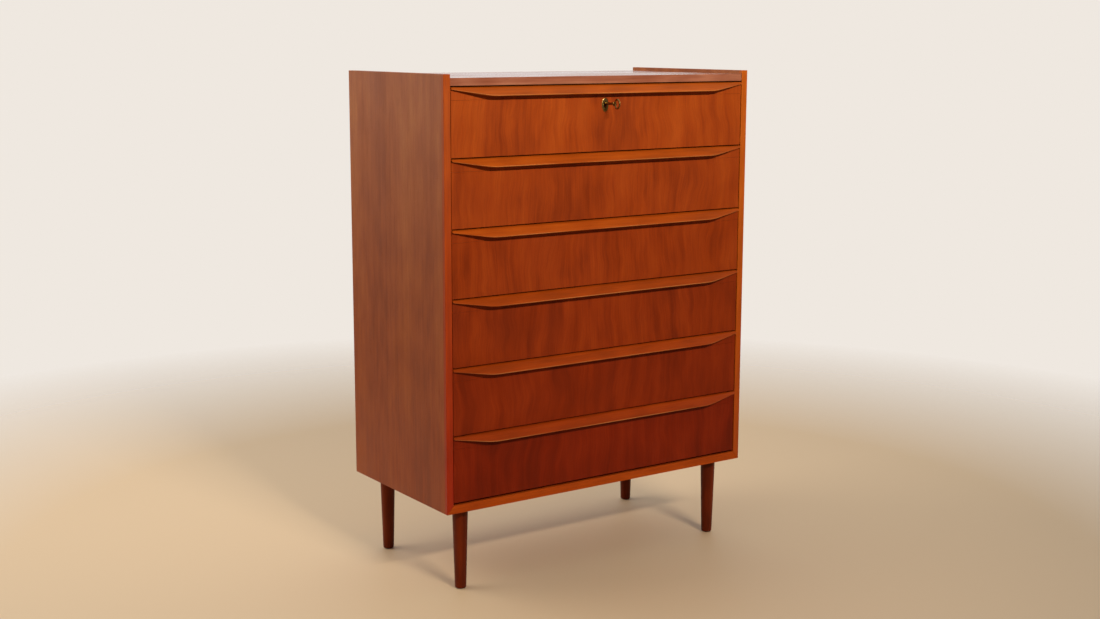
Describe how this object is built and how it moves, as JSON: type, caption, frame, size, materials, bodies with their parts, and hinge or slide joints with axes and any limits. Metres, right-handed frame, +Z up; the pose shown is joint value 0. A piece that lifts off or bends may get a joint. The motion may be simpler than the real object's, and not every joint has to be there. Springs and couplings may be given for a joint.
{
  "type": "tall chest of drawers",
  "caption": "Tall teak chest of drawers with full-width lip pulls, a lock in the top drawer and turned legs.",
  "frame": {"origin": "on the floor, under the centre of the chest's bounding box with its key in the lock", "axes": "+Z up, drawer fronts face -Y, +X to the right of someone facing the drawers"},
  "size_m": [0.8, 0.456, 1.0879],
  "materials": {
    "carcass_veneer": "oiled teak veneer, satin",
    "front_veneer": "oiled teak veneer, satin",
    "pull_teak": "solid teak, satin",
    "leg_wood": "dark-stained wood, satin",
    "drawer_wood": "plain pale wood",
    "runner_wood": "plain pale wood, waxed",
    "plywood": "plain plywood",
    "lock_steel": "plain steel",
    "key_brass": "worn brass"
  },
  "bodies": {
    "carcass": {"side_left": "carcass_veneer", "side_right": "carcass_veneer", "top_panel": "carcass_veneer", "bottom_panel": "carcass_veneer", "back_panel": "plywood", "leg_front_left": "leg_wood", "leg_front_right": "leg_wood", "leg_back_left": "leg_wood", "leg_back_right": "leg_wood", "runner_1_left": "runner_wood", "runner_1_right": "runner_wood", "runner_2_left": "runner_wood", "runner_2_right": "runner_wood", "runner_3_left": "runner_wood", "runner_3_right": "runner_wood", "runner_4_left": "runner_wood", "runner_4_right": "runner_wood", "runner_5_left": "runner_wood", "runner_5_right": "runner_wood", "runner_6_left": "runner_wood", "runner_6_right": "runner_wood"},
    "drawer_1": {"drawer_1_front": "front_veneer", "drawer_1_pull": "pull_teak", "drawer_1_side_left": "drawer_wood", "drawer_1_side_right": "drawer_wood", "drawer_1_back": "drawer_wood", "drawer_1_floor": "plywood", "lock_case": "lock_steel"},
    "drawer_2": {"drawer_2_front": "front_veneer", "drawer_2_pull": "pull_teak", "drawer_2_side_left": "drawer_wood", "drawer_2_side_right": "drawer_wood", "drawer_2_back": "drawer_wood", "drawer_2_floor": "plywood"},
    "drawer_3": {"drawer_3_front": "front_veneer", "drawer_3_pull": "pull_teak", "drawer_3_side_left": "drawer_wood", "drawer_3_side_right": "drawer_wood", "drawer_3_back": "drawer_wood", "drawer_3_floor": "plywood"},
    "drawer_4": {"drawer_4_front": "front_veneer", "drawer_4_pull": "pull_teak", "drawer_4_side_left": "drawer_wood", "drawer_4_side_right": "drawer_wood", "drawer_4_back": "drawer_wood", "drawer_4_floor": "plywood"},
    "drawer_5": {"drawer_5_front": "front_veneer", "drawer_5_pull": "pull_teak", "drawer_5_side_left": "drawer_wood", "drawer_5_side_right": "drawer_wood", "drawer_5_back": "drawer_wood", "drawer_5_floor": "plywood"},
    "drawer_6": {"drawer_6_front": "front_veneer", "drawer_6_pull": "pull_teak", "drawer_6_side_left": "drawer_wood", "drawer_6_side_right": "drawer_wood", "drawer_6_back": "drawer_wood", "drawer_6_floor": "plywood"},
    "lock_bolt": {"lock_bolt": "lock_steel"},
    "key": {"key": "key_brass"}
  },
  "joints": [
    {"name": "drawer_1_slide", "type": "slide", "parent": "carcass", "child": "drawer_1", "axis": [0, -1, 0], "range_m": [0, 0.28]},
    {"name": "drawer_2_slide", "type": "slide", "parent": "carcass", "child": "drawer_2", "axis": [0, -1, 0], "range_m": [0, 0.28]},
    {"name": "drawer_3_slide", "type": "slide", "parent": "carcass", "child": "drawer_3", "axis": [0, -1, 0], "range_m": [0, 0.28]},
    {"name": "drawer_4_slide", "type": "slide", "parent": "carcass", "child": "drawer_4", "axis": [0, -1, 0], "range_m": [0, 0.28]},
    {"name": "drawer_5_slide", "type": "slide", "parent": "carcass", "child": "drawer_5", "axis": [0, -1, 0], "range_m": [0, 0.28]},
    {"name": "drawer_6_slide", "type": "slide", "parent": "carcass", "child": "drawer_6", "axis": [0, -1, 0], "range_m": [0, 0.28]},
    {"name": "key_turn", "type": "hinge", "parent": "drawer_1", "child": "key", "pos_m": [0, -0.175, 1.022], "axis": [0, 1, 0], "range_deg": [0, 90]},
    {"name": "lock_bolt_slide", "type": "slide", "parent": "drawer_1", "child": "lock_bolt", "axis": [0, 0, 1], "range_m": [0, 0.007]}
  ],
  "couplings": [
    {"joint": "key_turn", "follows": "lock_bolt_slide", "rad_per_m": 224.4}
  ]
}
